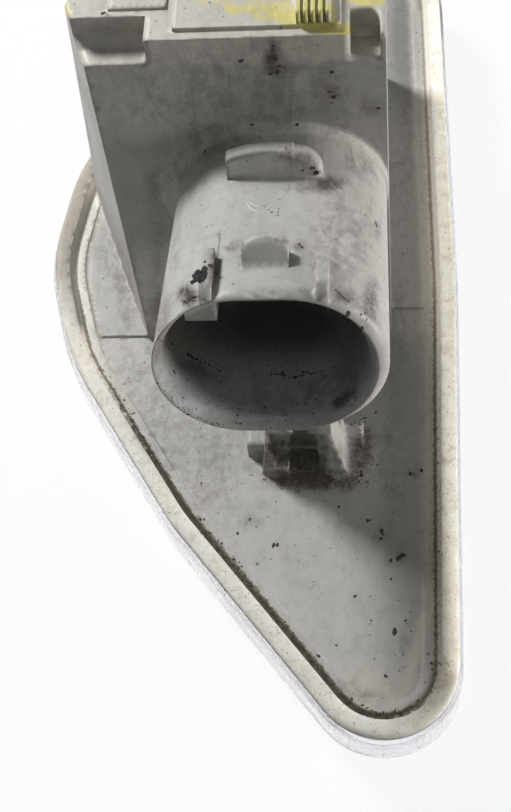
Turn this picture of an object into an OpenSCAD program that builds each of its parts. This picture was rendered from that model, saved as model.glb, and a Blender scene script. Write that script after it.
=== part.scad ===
// Side repeater lamp, seen from the rear: a leaf-shaped flange with a raised rim, a deep hollow box,
// a tilted two-pin plug socket, and a clear lens on the front. Lengths are in millimetres.
// Inside the modules, X is to the right, Y runs along the lamp towards its round end, Z points rearwards
// and the flat face of the flange is at zero. The last step lifts the lamp so that it lies on its lens.

/* [Flange] */
// length of the flange, from its tip to its round end
flange_l = 100.4; // [90:0.2:115]
// width of the flange at its widest
flange_w = 43.9; // [38:0.1:50]
// distance from the box's front face to the centre of the tip's arc
tip_out = 36.4; // [32:0.2:42]
// radius of the narrow tip
tip_r = 7; // [5:0.1:10]
// radius of the long bowed right edge's corner circle
bow_r = 20; // [15:1:24]
// radius of the round end's right corner
end_right_r = 10; // [7:1:14]
// radius of the round end's left corner
end_left_r = 13; // [9:1:16]
// radius of the three circles along the wide left edge
side_r = 20; // [15:1:24]
// radius of the bulge between the wide left edge and the tip
bulge_r = 12; // [9:1:15]
// thickness of the flange plate
plate_t = 2; // [1.5:0.1:3]
// height of the raised rim over the plate
rim_h = 1.3; // [0.8:0.1:2]
// width of the raised rim
rim_w = 1.6; // [1.2:0.1:2.5]
// thickness of the rim's lip, where it lies over the lens
lip_t = 1.1; // [0.8:0.1:1.3]
// width of the seal groove at the foot of the rim
groove_w = 0.6; // [0.4:0.1:1]
// depth of the seal groove
groove_d = 0.5; // [0.3:0.1:1]
// width of the bead beside the groove
bead_w = 1; // [0.6:0.1:1.4]
// height of the bead
bead_h = 0.3; // [0.2:0.05:0.5]
// height of the low step on the plate beside the box
step_h = 0.25; // [0.15:0.05:0.4]

/* [Box] */
// height of the box over the plate
box_h = 44.2; // [38:0.1:48]
// depth of the box along the lamp
box_depth = 36; // [30:1:42]
// distance from the centre line to the box's right wall
box_right = 10.6; // [9:0.1:12]
// distance from the centre line to the box's front left edge
box_left = 15.4; // [13:0.1:17]
// angle of the left wall, seen from above
left_splay = 20.8; // [15:0.1:25]
// distance along the lamp where the left wall turns, at the plate
turn_y = 19.5; // [16:0.5:24]
// angle of the wall behind that turn, seen from above
turn_angle = 14; // [8:1:20]
// lean of the wall behind that turn
turn_lean = 13; // [8:1:16]
// draft of the right, left and rear walls
draft = 1; // [0.5:0.25:2]
// wall thickness of the box
wall = 2.2; // [1.8:0.1:3]
// width of the left notch at the top
notch_w = 6; // [4:0.5:9]
// depth of the left notch, along the lamp
notch_d = 2.7; // [1:0.1:3.5]
// height of the left notch
notch_h = 2.6; // [2:0.1:4]
// width of the right pocket at the top
pocket_w = 2.4; // [1.5:0.1:3]
// depth of the right pocket, along the lamp
pocket_d = 2.75; // [2:0.05:4]
// height of the right pocket
pocket_h = 2.6; // [1.5:0.1:3]
// thickness of the wall that is left beside the right pocket
pocket_side = 0.4; // [0.3:0.1:1]

/* [Plug socket] */
// tilt of the socket, upwards from the plate
tilt = 15; // [10:1:20]
// width of the socket's mouth
mouth_w = 18; // [16:0.1:20]
// height of the socket's mouth
mouth_h = 14.3; // [12:0.1:16]
// height of the mouth's centre over the plate
mouth_z = 31.5; // [28:0.5:34]
// distance from the box's face to the mouth's centre, along the lamp
mouth_out = 22.75; // [18:0.25:26]
// width of the outer chamfer at the mouth
chamfer_out = 0.35; // [0.2:0.05:1]
// width of the inner chamfer at the mouth
chamfer_in = 0.6; // [0.4:0.1:0.9]
// length of the inner chamfer along the socket
chamfer_l = 1; // [0.5:0.1:1.5]
// depth of the socket, from the mouth to its floor
socket_depth = 16; // [12:0.5:18]
// thickness of the socket's floor
floor_t = 2.5; // [2:0.1:3.5]
// width of the fillet where the socket meets the box
flare = 0.9; // [0.5:0.1:2]

/* [Bulb and contacts] */
// width of a contact blade
blade_w = 2.2; // [1.5:0.1:2.8]
// thickness of a contact blade
blade_t = 0.8; // [0.6:0.1:1]
// length of a contact blade inside the socket
blade_out = 7; // [5:0.5:8]
// distance from the centre line to each contact blade
blade_x = 2.8; // [2.5:0.1:4]
// outer radius of the bulb
bulb_r = 5.1; // [4:0.1:5.2]
// glass thickness of the bulb
glass_t = 0.7; // [0.5:0.1:1]
// width of the bulb's flat base
base_w = 9; // [7:0.1:9.6]
// thickness of the bulb's flat base
base_t = 2.6; // [2:0.1:3]
// radius of the lead wires
lead_r = 0.25; // [0.2:0.05:0.3]
// clearance between the bulb holder and its pocket, and around the bulb's base
fit_gap = 0.1; // [0.05:0.05:0.3]

/* [Lens and reflector] */
// how far the lens stands out beyond the rim
lens_over = 0.4; // [0.2:0.1:0.8]
// thickness of the lens
lens_t = 1.3; // [1:0.1:1.6]
// height of the lens's straight side wall
lens_side = 4.6; // [3:0.2:6]
// height of the steep part of the lens's rounded edge
lens_round = 3; // [2:0.2:4]
// height of the shallow part of the lens's rounded edge
lens_crown = 1.4; // [1:0.1:2]
// thickness of the reflector's sheet
mirror_t = 1; // [0.8:0.1:1.4]
// radius of the reflector's bowl at the plate
bowl_r = 11; // [9:0.5:11]
// radius of the reflector's dome
dome_r = 9; // [7:0.5:9]
// height of the dome's centre over the plate
dome_z = 21; // [18:0.5:22]

/* [Hidden] */
$fn = 64;
// a small overlap, so that cuts pass through
eps = 0.01;
// a length larger than the lamp
big = 140;

// the outline goes round these corner circles, each [x, y, radius], in order round the edge
right_edge = 17.4;
end_y = flange_l - tip_out - tip_r;
swing = 14;
swing_x = right_edge - flange_w + side_r + swing;
swing_y = 11.5;
swing_far = 161;
swing_mid = 183;
swing_near = 207;
function side_circle(a) = [swing_x + swing * cos(a), swing_y + swing * sin(a), side_r];
edge = [
    [right_edge - 1.1 - tip_r, -tip_out, tip_r],
    [right_edge - bow_r, 6, bow_r],
    [right_edge - 0.4 - end_right_r, end_y - end_right_r, end_right_r],
    [swing_x - 9.5, end_y - end_left_r, end_left_r],
    side_circle(swing_far),
    side_circle(swing_mid),
    side_circle(swing_near),
    [swing_x - 9.3, -15, bulge_r]
];
count = len(edge);
// largest turn between two points of the outline
arc_step = 6;

// insets of the rim, groove, bead and plate edge from the outline
lens_in = lens_t - lens_over;
plate_edge = lens_in + fit_gap;
groove_in = rim_w + groove_w;
bead_in = groove_in + bead_w;
lip_z = rim_h - lip_t;

// socket sizes
mouth_r = mouth_h / 2;
half_flat = (mouth_w - mouth_h) / 2;
body_r = mouth_r + chamfer_out;
// the socket's outside is wider on its right, so its chamfer is too
body_x = 0.5;
body_flat = 1.8;
chamfer_s = 0.7;
land = 0.1;
bore_r = mouth_r - land - chamfer_in;
socket_x = 0.14;
web_end = socket_depth + floor_t;
// length of the socket tube from its mouth to inside the box wall
tube_l = 26;
// length of the bore behind the socket's floor, past the box wall
bore_l = 29;

// ribs and nibs on top of the socket, measured from the socket's centre line
rib_w = 0.95;
rib_l = 5;
rib_h = 8.1;
rib_left = -4.25;
rib_right = 4.7;
nib_w = 3.65;
nib_x = 0.3;
nib_s = 3.15;
nib_rise = 2;
nib_run = 1.4;
nib_back = 0.5;
nib_arch = 2.5;
tab_left = -3.42;
tab_right = 4.5;
tab_s = 14.95;
tab_t = 1.3;
tab_h = 2.5;
tab_arch = 11;
tab_end_r = 2.3;

// key block under the socket's ceiling
key_x = -4.75;
key_w = 2.5;
key_y = 4.2;
key_l = 7;

// stumps of the broken clip under the socket
clip_left = -2.6;
clip_right = 6;
clip_front = -16.3;
clip_back = -11.5;
leg_left_w = 2.6;
leg_left_lean = 0.9;
leg_right_w = 2.1;
leg_right_lean = 1.4;
leg_knee = 8;
leg_top = 23;
web_t = 1.5;
web_h = 6;
block_h = 2.5;
block_left = 1.5;
block_right = 1.6;
block_front = 2;

// front ends of the low step on the plate, left and right of the box
step_left = 0.3;
step_right = 3.4;

// panel and boss on the rear face of the box
panel_h = 0.3;
panel_left = -7.1;
panel_right = 6.3;
panel_y = 0.95;
panel_l = 18;
side_panel_left = -12.5;
side_panel_y = 3.4;
boss_x = 2.8;
boss_w = 2.7;
boss_y = 1.4;
boss_l = 9;
boss_h = 1.1;
boss_rib = 0.35;
boss_ribs = 5;

// bulb and holder, measured inwards from the socket's mouth
base_s = 21;
holder_end = 27;
holder_grip = 2;
contact_end = 24.6;
shoulder_s = 33;
crown_s = 41;
filament_s = 38.5;
filament_r = 0.3;
filament_l = 4.4;
lead_x = 2.2;
lead_y = base_t / 2 + lead_r;
lead_turn = base_s - lead_r;
lead_back = 24.4;
jog_s = web_end + 1.1;
slot_x = 5.5;
slot_y = 3.2;

// lens and reflector
lens_top = lip_z;
side_end = lens_top - lens_side;
round_end = side_end - lens_round;
crown_end = round_end - lens_crown;
round_in = 1.2;
crown_in = 4.6;
bowl_x = -3;
bowl_y = 17;
mirror_top = -plate_t;
mirror_edge = 2.2;
apron_t = 1;
apron_l = 4.2;
pad_turn = 30;
pad_first = 195;
pad_count = 6;
pad_w = 2.6;
pad_t = 0.5;

// extent of the outline, to centre the lamp on its own origin
left_x = min([for (c = edge) c[0] - c[2]]);
right_x = max([for (c = edge) c[0] + c[2]]);
near_y = min([for (c = edge) c[1] - c[2]]);
far_y = max([for (c = edge) c[1] + c[2]]);
row_x = -(left_x + right_x) / 2;
row_y = -(near_y + far_y) / 2;
row_z = -crown_end;

// direction that faces outwards from the edge between two neighbouring circles
function way(p, q) = atan2(q[1] - p[1], q[0] - p[0])
    - acos((p[2] - q[2]) / norm([q[0] - p[0], q[1] - p[1]]));
function on_edge(p, a, inset) = [p[0] + (p[2] - inset) * cos(a), p[1] + (p[2] - inset) * sin(a)];

// direction of the corner circle's arc: from the side before it to the side after it
function before(i) = way(edge[(i + count - 1) % count], edge[i]);
function after(i) = way(edge[i], edge[(i + 1) % count]);
function turn(i) = (after(i) - before(i) + 720) % 360;
function steps(i) = ceil(turn(i) / arc_step);

// flat outline of the flange, moved inwards by inset
module outline(inset) {
    polygon([
        for (i = [0 : count - 1])
            for (k = [0 : steps(i)])
                on_edge(edge[i], before(i) + turn(i) * k / steps(i), inset)
    ]);
}

module slab(inset, z0, z1) {
    translate([0, 0, z0]) linear_extrude(height = z1 - z0) outline(inset);
}

module ring(outer, inner, z0, z1) {
    difference() {
        slab(outer, z0, z1);
        slab(inner, z0 - eps, z1 + eps);
    }
}

// everything on the inner side of a leaning wall
module inside_wall(x, y, facing, lean, off) {
    translate([x, y, 0]) rotate([0, 0, facing]) rotate([0, -lean, 0])
        translate([-off - big, -big, -big]) cube([big, 2 * big, 2 * big]);
}

// the box as a solid, with its walls moved inwards by off
module box_solid(off, z0, z1) {
    turn_x = -box_left - turn_y * tan(left_splay);
    intersection() {
        translate([-big / 2, off, z0]) cube([big, box_depth - 2 * off, z1 - z0]);
        inside_wall(box_right, 0, 0, draft, off);
        inside_wall(-box_left, 0, 180 + left_splay, draft, off);
        inside_wall(turn_x, turn_y, 180 - turn_angle, turn_lean, off);
        inside_wall(0, box_depth, 90, draft, off);
    }
}

// moves children to the socket: its mouth is at zero and it runs down the negative axis
module in_socket() {
    translate([socket_x, -mouth_out, mouth_z]) rotate([90 - tilt, 0, 0]) children();
}

module stadium(r, flat = half_flat) {
    translate([-flat, 0]) circle(r = r);
    translate([flat, 0]) circle(r = r);
    translate([-flat, -r]) square([2 * flat, 2 * r]);
}

// a stadium that narrows from r0 at s0 to r1 at s1, both measured from the mouth inwards
module stadium_cone(r0, r1, s0, s1) {
    length = s1 - s0;
    for (side = [-1, 1]) {
        translate([side * half_flat, 0, -s1]) cylinder(r1 = r1, r2 = r0, h = length);
    }
    translate([-half_flat, 0, -s1]) rotate([90, 0, 90])
        linear_extrude(height = 2 * half_flat)
            polygon([[-r1, 0], [r1, 0], [r0, length], [-r0, length]]);
}

module tube(r, s0, s1) {
    translate([0, 0, -s1]) linear_extrude(height = s1 - s0) stadium(r);
}

module socket_body() {
    in_socket() hull() {
        tube(mouth_r, 0, eps);
        translate([body_x, 0, -tube_l]) linear_extrude(height = tube_l - chamfer_s)
            stadium(body_r, body_flat);
    }
}

module socket_cuts() {
    in_socket() {
        stadium_cone(bore_r + chamfer_in, bore_r, -eps, chamfer_l);
        tube(bore_r, chamfer_l - eps, socket_depth);
        tube(bore_r, web_end, bore_l);
        for (side = [-1, 1]) {
            translate([side * blade_x - blade_w / 2, -blade_t / 2, -web_end - eps])
                cube([blade_w, blade_t, floor_t + 2 * eps]);
        }
    }
}

// one slope of the fillet round the socket's root: wide on the box's front face, flush with the
// socket's right side, and down to the given width where it is proud of the face
module root_slope(wide, narrow, proud) {
    lift = mouth_z - mouth_out * tan(tilt);
    tall = body_r / cos(tilt);
    hull() {
        translate([socket_x + body_x - wide, 0, lift]) rotate([90, 0, 0])
            linear_extrude(height = eps) stadium(tall + wide, body_flat);
        translate([socket_x + body_x - narrow, -proud, lift + proud * tan(tilt)]) rotate([90, 0, 0])
            linear_extrude(height = eps) stadium(tall + narrow - land, body_flat);
    }
}

// fillet where the socket meets the box's front face, in two slopes
module socket_flare() {
    root_slope(flare, flare / 3, flare / 3);
    root_slope(flare / 2, 0, flare);
}

module rib(x) {
    foot = 1;
    translate([x - rib_w / 2, 0, 0]) rotate([90, 0, 90])
        linear_extrude(height = rib_w)
            polygon([[mouth_r - foot, -land], [mouth_r, -land], [rib_h, -foot],
                     [rib_h, -rib_l], [mouth_r - foot, -rib_l]]);
}

module lock_nib() {
    top = body_r + nib_rise;
    end = nib_s + nib_run + nib_back;
    intersection() {
        translate([nib_x - nib_w / 2, 0, 0]) rotate([90, 0, 90])
            linear_extrude(height = nib_w)
                polygon([[body_r - land, -nib_s], [top, -nib_s - nib_run], [top, -end], [body_r - land, -end]]);
        translate([nib_x, top - nib_arch, -end - eps]) cylinder(r = nib_arch, h = end);
    }
}

module stop_tab() {
    top = body_r + tab_h;
    flat_end = tab_right - tab_end_r;
    difference() {
        union() {
            intersection() {
                translate([tab_left, body_r - tab_h, -tab_s - tab_t])
                    cube([flat_end - tab_left, 2 * tab_h, tab_t]);
                translate([(tab_left + tab_right) / 2, top - tab_arch, -tab_s - tab_t])
                    cylinder(r = tab_arch, h = tab_t);
            }
            translate([flat_end, top - tab_end_r - 0.25, -tab_s - tab_t])
                cylinder(r = tab_end_r, h = tab_t);
        }
        // the chipped corner
        translate([0.7, top, -tab_s]) rotate([50, 0, -27])
            translate([0, 0, -4]) cube([6, 5, 8]);
    }
}

module key_block() {
    in_socket() {
        intersection() {
            translate([key_x - key_w / 2, key_y, -chamfer_l - key_l]) cube([key_w, mouth_r, key_l]);
            tube(body_r - land, 0, tube_l);
        }
    }
}

module socket_top() {
    in_socket() {
        rib(socket_x + rib_left);
        rib(rib_right);
        lock_nib();
        stop_tab();
    }
}

// one leg under the socket: a wall from the plate up to the socket, which leans inwards at its foot
module leg(x, width, lean) {
    translate([x, clip_back, 0]) rotate([90, 0, 0])
        linear_extrude(height = clip_back - clip_front)
            polygon([[0, -eps], [width, -eps], [width + lean, leg_knee], [width + lean, leg_top],
                     [lean, leg_top], [lean, leg_knee]]);
}

// the two legs with the torn fronts of the clip, and the low web and blocks at their feet
module clip_stump() {
    difference() {
        union() {
            leg(clip_left, leg_left_w, leg_left_lean);
            leg(clip_right - leg_right_w, leg_right_w, -leg_right_lean);
        }
        // torn inner sides
        translate([clip_left + 1.4, clip_front - 1, 1.2]) rotate([12, -12, -5]) cube([4, 2.4, 4.6]);
        translate([clip_left + 1.2, clip_front - 0.4, 4]) rotate([24, 14, 9]) cube([4, 2.2, 5]);
        translate([clip_left + 2.1, clip_front - 1, -0.5]) rotate([0, 10, -20]) cube([3, 2.4, 6]);
        translate([clip_right - 6, clip_front - 0.6, 0.9]) rotate([10, 12, -24]) cube([4.6, 2.4, 4.4]);
        translate([clip_right - 7, clip_front, 3.4]) rotate([20, -14, -12]) cube([4.6, 2, 5]);
        translate([clip_right - 4.6, clip_front - 0.6, -0.5]) rotate([0, 0, 34]) cube([2.2, 2.4, 6]);
    }
    translate([clip_left + 0.5, clip_back - web_t - 0.2, -eps])
        cube([clip_right - clip_left - 1, web_t, web_h]);
    translate([clip_left - block_left, clip_front + block_front, -eps])
        cube([block_left + leg_left_lean, clip_back - clip_front - block_front - 0.3, block_h]);
    translate([clip_right - leg_right_lean, clip_front + block_front + 1.1, -eps])
        cube([block_right + leg_right_lean, clip_back - clip_front - block_front - 1.5, block_h]);
}

module box_top() {
    translate([panel_left, panel_y, box_h - eps])
        cube([panel_right - panel_left, panel_l, panel_h + eps]);
    intersection() {
        translate([side_panel_left, side_panel_y, box_h - eps])
            cube([panel_left - side_panel_left - 0.6, panel_l, panel_h / 2 + eps]);
        box_solid(wall, 0, box_h + 1);
    }
    translate([boss_x, boss_y, box_h - eps]) cube([boss_w, boss_l, boss_h]);
    for (i = [0 : boss_ribs - 1]) {
        translate([boss_x + i * (boss_w - boss_rib) / (boss_ribs - 1), boss_y - boss_rib, box_h - eps])
            cube([boss_rib, boss_l, boss_h + boss_rib]);
    }
}

// left notch: open to the front and the left, with a bevel at the foot of its back and a rounded inner corner
module left_notch() {
    corner = 0.6;
    soft = 0.8;
    low = box_h - notch_h;
    inner = notch_w - box_left;
    intersection() {
        translate([-big, 0, 0]) rotate([90, 0, 90]) linear_extrude(height = 2 * big)
            polygon([[-1, low], [notch_d - soft, low], [notch_d, low + soft], [notch_d, box_h + 1],
                     [-1, box_h + 1]]);
        translate([0, big, 0]) rotate([90, 0, 0]) linear_extrude(height = 2 * big) {
            translate([-big, low]) square([big + inner - corner, notch_h + 1]);
            translate([-big, low + corner]) square([big + inner, notch_h + 1]);
            translate([inner - corner, low + corner]) circle(r = corner);
        }
    }
}

// right pocket: open to the front and the top, with a rounded far corner
module right_pocket() {
    corner = 1;
    end = box_right - box_h * tan(draft) - pocket_side;
    translate([end - pocket_w, -1, box_h - pocket_h]) linear_extrude(height = pocket_h + 1) {
        square([pocket_w, 1 + pocket_d - corner]);
        square([pocket_w - corner, 1 + pocket_d]);
        translate([pocket_w - corner, 1 + pocket_d - corner]) circle(r = corner);
    }
}

module housing() {
    color([0.66, 0.65, 0.63]) difference() {
        union() {
            slab(plate_edge, -plate_t, 0);
            ring(0, rim_w, lip_z, rim_h);
            ring(plate_edge, rim_w, -plate_t, rim_h);
            ring(groove_in, bead_in, -eps, bead_h);
            intersection() {
                slab(bead_in, -eps, step_h);
                union() {
                    translate([-big, step_left, -1]) cube([big, big, 2]);
                    translate([-eps, step_right, -1]) cube([big, big, 2]);
                }
            }
            box_solid(0, -eps, box_h);
            box_top();
            socket_body();
            socket_flare();
            socket_top();
            clip_stump();
        }
        ring(rim_w, groove_in, -groove_d, rim_h + eps);
        box_solid(wall, -plate_t - 1, box_h - wall - notch_h);
        left_notch();
        right_pocket();
        socket_cuts();
    }
    color([0.66, 0.65, 0.63]) key_block();
}

module lens() {
    color([0.9, 0.92, 0.93, 0.5]) difference() {
        union() {
            slab(-lens_over, side_end, lens_top);
            hull() {
                slab(-lens_over, side_end - eps, side_end);
                slab(round_in, round_end - eps, round_end);
            }
            hull() {
                slab(round_in, round_end - eps, round_end);
                slab(crown_in, crown_end, crown_end + eps);
            }
        }
        slab(lens_in, side_end, lens_top + eps);
        hull() {
            slab(lens_in, side_end, side_end + eps);
            slab(round_in + lens_t, round_end + lens_t / 2, round_end + lens_t / 2 + eps);
        }
        hull() {
            slab(round_in + lens_t, round_end + lens_t / 2, round_end + lens_t / 2 + eps);
            slab(crown_in + lens_t, crown_end + lens_t, crown_end + lens_t + eps);
        }
    }
}

module reflector() {
    color([0.85, 0.85, 0.86]) difference() {
        union() {
            slab(mirror_edge, mirror_top - mirror_t, mirror_top);
            ring(mirror_edge, mirror_edge + apron_t, mirror_top - apron_l, mirror_top);
            translate([bowl_x, bowl_y, 0]) {
                translate([0, 0, mirror_top - mirror_t])
                    cylinder(r = bowl_r, h = plate_t + mirror_t);
                cylinder(r1 = bowl_r, r2 = dome_r, h = dome_z);
                intersection() {
                    translate([0, 0, dome_z]) sphere(r = dome_r);
                    translate([-big / 2, -big / 2, dome_z - eps]) cube([big, big, big]);
                }
            }
            for (i = [0 : pad_count - 1]) {
                translate([edge[0][0], edge[0][1], mirror_top - apron_l])
                    rotate([0, 0, pad_first + i * pad_turn])
                        translate([tip_r - mirror_edge - pad_t, -pad_w / 2, 0])
                            cube([2 * pad_t, pad_w, apron_l - mirror_t]);
            }
        }
        translate([bowl_x, bowl_y, 0]) {
            translate([0, 0, mirror_top - mirror_t - eps])
                cylinder(r = bowl_r - mirror_t, h = plate_t + mirror_t + 2 * eps);
            cylinder(r1 = bowl_r - mirror_t, r2 = dome_r - mirror_t, h = dome_z);
            translate([0, 0, dome_z]) sphere(r = dome_r - mirror_t);
        }
        // the bulb's opening
        in_socket() translate([0, 0, -crown_s]) cylinder(r = bulb_r + 0.6, h = crown_s - holder_end);
    }
}

module bulb_holder() {
    color([0.25, 0.25, 0.26]) in_socket() difference() {
        tube(bore_r - fit_gap, web_end, holder_end);
        translate([-slot_x, -slot_y, -holder_end + holder_grip])
            cube([2 * slot_x, 2 * slot_y, holder_end - holder_grip - web_end + eps]);
        translate([-base_w / 2 - fit_gap, -base_t / 2 - fit_gap, -holder_end - eps])
            cube([base_w + 2 * fit_gap, base_t + 2 * fit_gap, holder_grip + 2 * eps]);
    }
}

module contact(side) {
    inner = base_t / 2 + 2 * lead_r;
    color([0.72, 0.70, 0.62]) in_socket() rotate([0, 0, side < 0 ? 0 : 180]) {
        translate([-blade_x - blade_w / 2, -blade_t / 2, -jog_s])
            cube([blade_w, blade_t, jog_s - socket_depth + blade_out]);
        translate([-blade_x - blade_w / 2, -blade_t / 2, -jog_s - blade_t])
            cube([blade_w, inner + blade_t * 3 / 2, blade_t + eps]);
        translate([-blade_x - blade_w / 2, inner, -contact_end])
            cube([blade_w, blade_t, contact_end - jog_s]);
    }
}

module lead(side) {
    color([0.7, 0.7, 0.7]) in_socket() rotate([0, 0, side < 0 ? 0 : 180]) {
        translate([-lead_x, 0, -filament_s]) cylinder(r = lead_r, h = filament_s - lead_turn);
        translate([-lead_x, 0, -lead_turn]) sphere(r = lead_r);
        translate([-lead_x, 0, -lead_turn]) rotate([-90, 0, 0]) cylinder(r = lead_r, h = lead_y);
        translate([-lead_x, lead_y, -lead_turn]) sphere(r = lead_r);
        translate([-lead_x, lead_y, -lead_back]) cylinder(r = lead_r, h = lead_back - lead_turn);
    }
}

module capsule(r, s0, s1) {
    translate([0, 0, -s1]) cylinder(r = r, h = s1 - s0);
    translate([0, 0, -s0]) sphere(r = r);
    translate([0, 0, -s1]) sphere(r = r);
}

module bulb_glass() {
    inner = bulb_r - glass_t;
    pinch = shoulder_s - inner / 2;
    color([0.95, 0.6, 0.15, 0.6]) in_socket() difference() {
        union() {
            difference() {
                capsule(bulb_r, shoulder_s, crown_s);
                capsule(inner, shoulder_s, crown_s);
            }
            translate([-base_w / 2, -base_t / 2, -pinch]) cube([base_w, base_t, pinch - base_s]);
        }
        for (side = [-1, 1]) {
            translate([side * lead_x, 0, -pinch - eps])
                cylinder(r = lead_r, h = pinch - base_s + 2 * eps);
        }
    }
}

module bulb_filament() {
    color([0.4, 0.4, 0.42]) in_socket() translate([-filament_l / 2 + lead_r, 0, -filament_s - filament_r])
        rotate([0, 90, 0]) cylinder(r = filament_r, h = filament_l - 2 * lead_r);
}

module placed() {
    translate([row_x, row_y, row_z]) children();
}

placed() housing();
placed() lens();
placed() reflector();
placed() bulb_holder();
placed() contact(-1);  // contact_left
placed() contact(1);  // contact_right
placed() bulb_glass();
placed() bulb_filament();
placed() lead(-1);  // bulb_lead_left
placed() lead(1);  // bulb_lead_right
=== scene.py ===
import math
import random

import bmesh
import bpy
import numpy
from mathutils import Matrix, Vector
from mathutils.bvhtree import BVHTree


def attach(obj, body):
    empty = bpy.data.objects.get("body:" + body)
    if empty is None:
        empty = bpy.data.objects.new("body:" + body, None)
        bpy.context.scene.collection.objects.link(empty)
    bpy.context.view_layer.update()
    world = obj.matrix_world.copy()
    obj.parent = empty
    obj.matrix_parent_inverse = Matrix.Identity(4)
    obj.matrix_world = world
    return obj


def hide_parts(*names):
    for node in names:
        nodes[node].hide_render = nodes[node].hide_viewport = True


MM = 0.001
DOWNWARDS = Vector((0, 0, -1))

# The lamp is described in the housing's own frame, as in the part's source: millimetres, X right,
# Y towards the round end, Z rearwards from the flange's flat face. This shift takes it to the row frame.
SHIFT = Vector((4.54, -6.8, 8.8))

# Camera, fitted to the photograph in the housing's frame.
CAMERA_AT = Vector((8.611, -77.942, 123.248))
CAMERA_YAW = -9.974
CAMERA_PITCH = 60.19
CAMERA_ROLL = 9.171
FOCAL_PIXELS = 1365.0
IMAGE_WIDTH = 511
IMAGE_HEIGHT = 812
SENSOR = 36.0

# Flange and groove, with the sizes of the part's source.
SWING_AT = (7.5, 11.5)
SWING = 14.0
SIDE_R = 20.0
RIM_W = 1.6
RIM_H = 1.3
GROOVE_W = 0.6

# Plug socket: middle and tilt of its mouth, and a radius between its bore and its outside.
MOUTH_AT = Vector((0.14, -22.75, 31.5))
MOUTH_TILT = math.radians(15)
MOUTH_UP = Vector((0, math.sin(MOUTH_TILT), math.cos(MOUTH_TILT)))
MOUTH_HALF_FLAT = 1.85
INSIDE_R = 6.9
INSIDE_DEPTH = 16


def side_circle(angle):
    """One of the equal circles that make the flange's bulge on the left, at an angle round their centre."""
    turn = math.radians(angle)
    return (SWING_AT[0] + SWING * math.cos(turn), SWING_AT[1] + SWING * math.sin(turn), SIDE_R)


# outline of the flange: circles joined by tangents, each with its centre and radius
EDGE = [
    (9.3, -36.4, 7.0),
    (-2.6, 6.0, 20.0),
    (7.0, 47.0, 10.0),
    (-2.0, 44.0, 13.0),
    side_circle(161),
    side_circle(183),
    side_circle(207),
    (-1.8, -15.0, 12.0),
]


def ramp(value, low, high):
    """Share of the way from low to high, held between 0 and 1."""
    return min(1, max(0, (value - low) / (high - low)))


def row(point):
    """A point of the housing's frame, in millimetres, as a point of the row frame, in metres."""
    return (Vector(point) + SHIFT) * MM


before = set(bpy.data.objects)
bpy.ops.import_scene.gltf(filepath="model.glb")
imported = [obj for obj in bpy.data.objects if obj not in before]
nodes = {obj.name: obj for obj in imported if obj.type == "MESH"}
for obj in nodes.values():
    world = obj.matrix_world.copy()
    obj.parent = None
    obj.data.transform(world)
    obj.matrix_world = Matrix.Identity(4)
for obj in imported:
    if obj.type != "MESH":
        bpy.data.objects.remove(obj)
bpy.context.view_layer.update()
scene = bpy.context.scene


# Camera


def camera_axes():
    """Right, down and forward of the camera."""
    yaw = math.radians(CAMERA_YAW)
    pitch = math.radians(CAMERA_PITCH)
    roll = math.radians(CAMERA_ROLL)
    forward = Vector((math.sin(yaw) * math.cos(pitch), math.cos(yaw) * math.cos(pitch), -math.sin(pitch)))
    level = Vector((math.cos(yaw), -math.sin(yaw), 0))
    under = forward.cross(level)
    right = level * math.cos(roll) + under * math.sin(roll)
    down = under * math.cos(roll) - level * math.sin(roll)
    return right, down, forward


RIGHT, DOWN, FORWARD = camera_axes()
EYE = row(CAMERA_AT)


def set_camera():
    """Camera with the photograph's own place, turn and focal length."""
    data = bpy.data.cameras.new("camera")
    data.sensor_fit = "VERTICAL"
    data.sensor_height = SENSOR
    data.lens = FOCAL_PIXELS * SENSOR / IMAGE_HEIGHT
    data.clip_start = 0.005
    data.clip_end = 20
    camera = bpy.data.objects.new("camera", data)
    scene.collection.objects.link(camera)
    turn = Matrix((RIGHT, -DOWN, -FORWARD)).transposed()
    camera.matrix_world = Matrix.Translation(EYE) @ turn.to_4x4()
    scene.camera = camera


def pixel(point):
    """Where a point of the row frame falls in the photograph."""
    away = point - EYE
    depth = away.dot(FORWARD)
    x = IMAGE_WIDTH / 2 + FOCAL_PIXELS * away.dot(RIGHT) / depth
    y = IMAGE_HEIGHT / 2 + FOCAL_PIXELS * away.dot(DOWN) / depth
    return x, y


def sight(x, y):
    """Direction from the camera through a pixel of the photograph."""
    way = RIGHT * (x - IMAGE_WIDTH / 2) + DOWN * (y - IMAGE_HEIGHT / 2) + FORWARD * FOCAL_PIXELS
    return way.normalized()


set_camera()


# Node materials


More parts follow.
